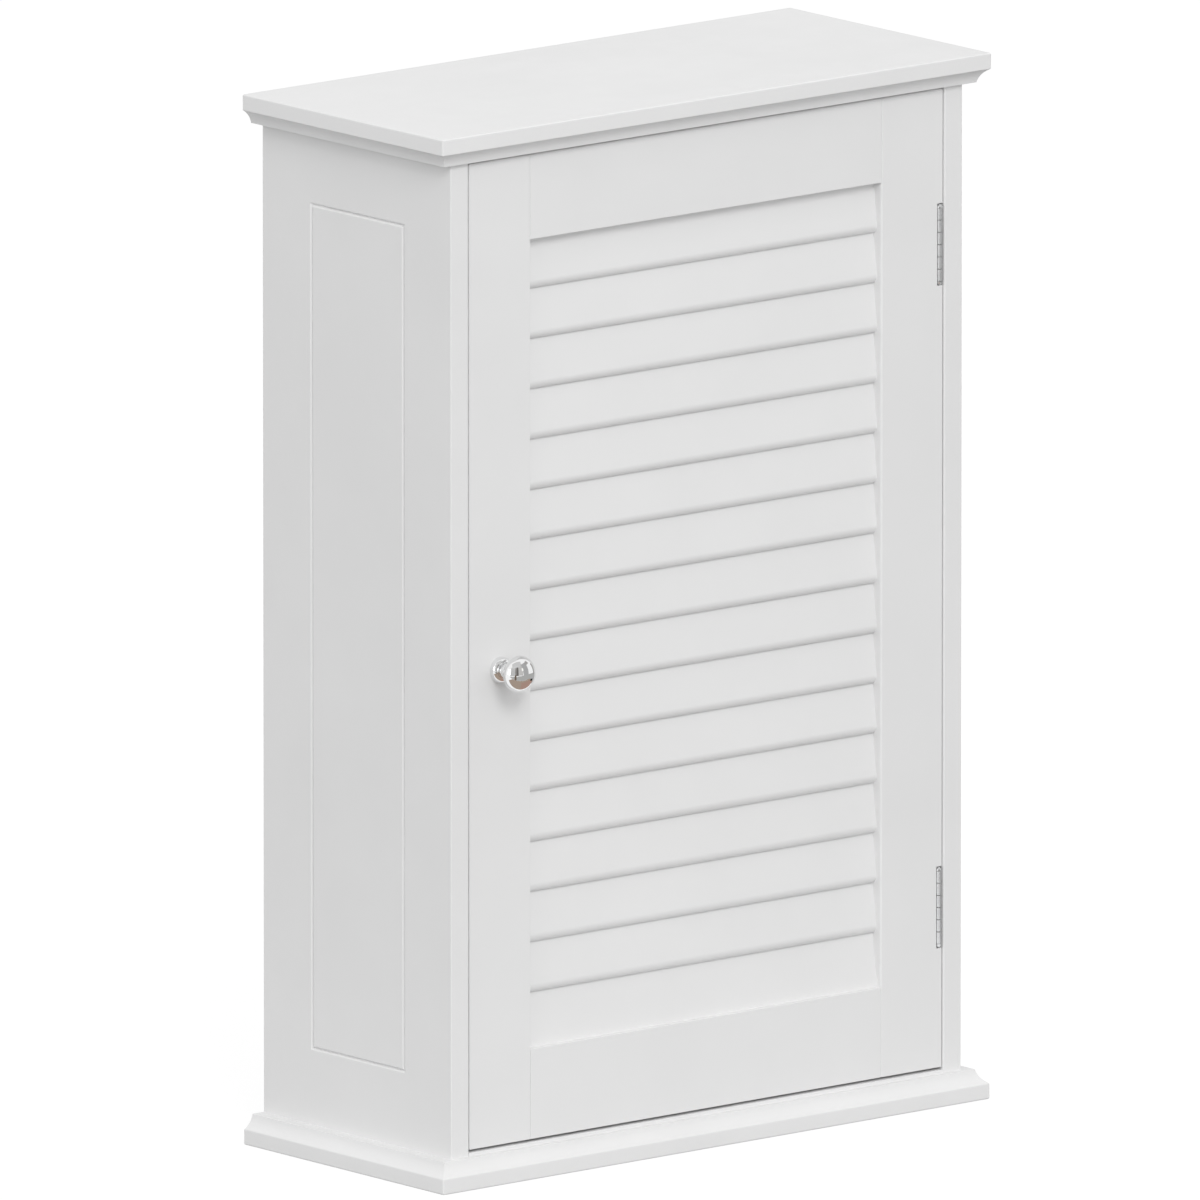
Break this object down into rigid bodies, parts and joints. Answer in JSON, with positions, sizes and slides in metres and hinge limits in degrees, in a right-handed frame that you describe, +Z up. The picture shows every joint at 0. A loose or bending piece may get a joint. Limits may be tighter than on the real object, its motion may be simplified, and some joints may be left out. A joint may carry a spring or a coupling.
{
  "type": "louvred door cabinet",
  "caption": "Small painted wall cabinet with a louvred door on butt hinges, a chrome knob, an adjustable shelf and a magnetic catch.",
  "frame": {"origin": "centre of the underside of the bottom board, on the floor or shelf the cabinet stands on", "axes": "+Z up, +Y towards the back (the wall), +X to the right of someone who faces the door"},
  "size_m": [0.4, 0.1885, 0.6],
  "materials": {
    "painted_wood": "satin white paint on fibreboard",
    "chrome": "polished",
    "hinge_steel": "bright plated",
    "screw_steel": "plated",
    "white_plastic": "moulded",
    "magnet_steel": "dull"
  },
  "bodies": {
    "carcass": {"top_board": "painted_wood", "bottom_board": "painted_wood", "left_side_panel": "painted_wood", "right_side_panel": "painted_wood", "back_panel": "painted_wood", "hanging_rail": "painted_wood", "shelf": "painted_wood", "shelf_pin_left_front": "hinge_steel", "shelf_pin_left_back": "hinge_steel", "shelf_pin_right_front": "hinge_steel", "shelf_pin_right_back": "hinge_steel", "bottom_screw_left_front": "screw_steel", "bottom_screw_left_back": "screw_steel", "bottom_screw_right_front": "screw_steel", "bottom_screw_right_back": "screw_steel", "catch_case": "white_plastic", "catch_magnet": "magnet_steel", "catch_screw_top": "screw_steel", "catch_screw_bottom": "screw_steel", "upper_hinge_case_leaf": "hinge_steel", "upper_hinge_pin": "hinge_steel", "upper_hinge_case_screw_top": "screw_steel", "upper_hinge_case_screw_bottom": "screw_steel", "lower_hinge_case_leaf": "hinge_steel", "lower_hinge_pin": "hinge_steel", "lower_hinge_case_screw_top": "screw_steel", "lower_hinge_case_screw_bottom": "screw_steel"},
    "door": {"door_stile_left": "painted_wood", "door_stile_right": "painted_wood", "door_rail_top": "painted_wood", "door_rail_bottom": "painted_wood", "slat_01": "painted_wood", "slat_02": "painted_wood", "slat_03": "painted_wood", "slat_04": "painted_wood", "slat_05": "painted_wood", "slat_06": "painted_wood", "slat_07": "painted_wood", "slat_08": "painted_wood", "slat_09": "painted_wood", "slat_10": "painted_wood", "slat_11": "painted_wood", "slat_12": "painted_wood", "slat_13": "painted_wood", "slat_14": "painted_wood", "slat_15": "painted_wood", "slat_16": "painted_wood", "knob": "chrome", "knob_screw": "screw_steel", "strike_plate": "hinge_steel", "strike_screw": "screw_steel", "upper_hinge_door_leaf": "hinge_steel", "upper_hinge_door_screw_top": "screw_steel", "upper_hinge_door_screw_bottom": "screw_steel", "lower_hinge_door_leaf": "hinge_steel", "lower_hinge_door_screw_top": "screw_steel", "lower_hinge_door_screw_bottom": "screw_steel"}
  },
  "joints": [
    {"name": "door_hinge", "type": "hinge", "parent": "carcass", "child": "door", "pos_m": [0.171, -0.0764, 0.301], "axis": [0, 0, 1], "range_deg": [0, 125]}
  ]
}
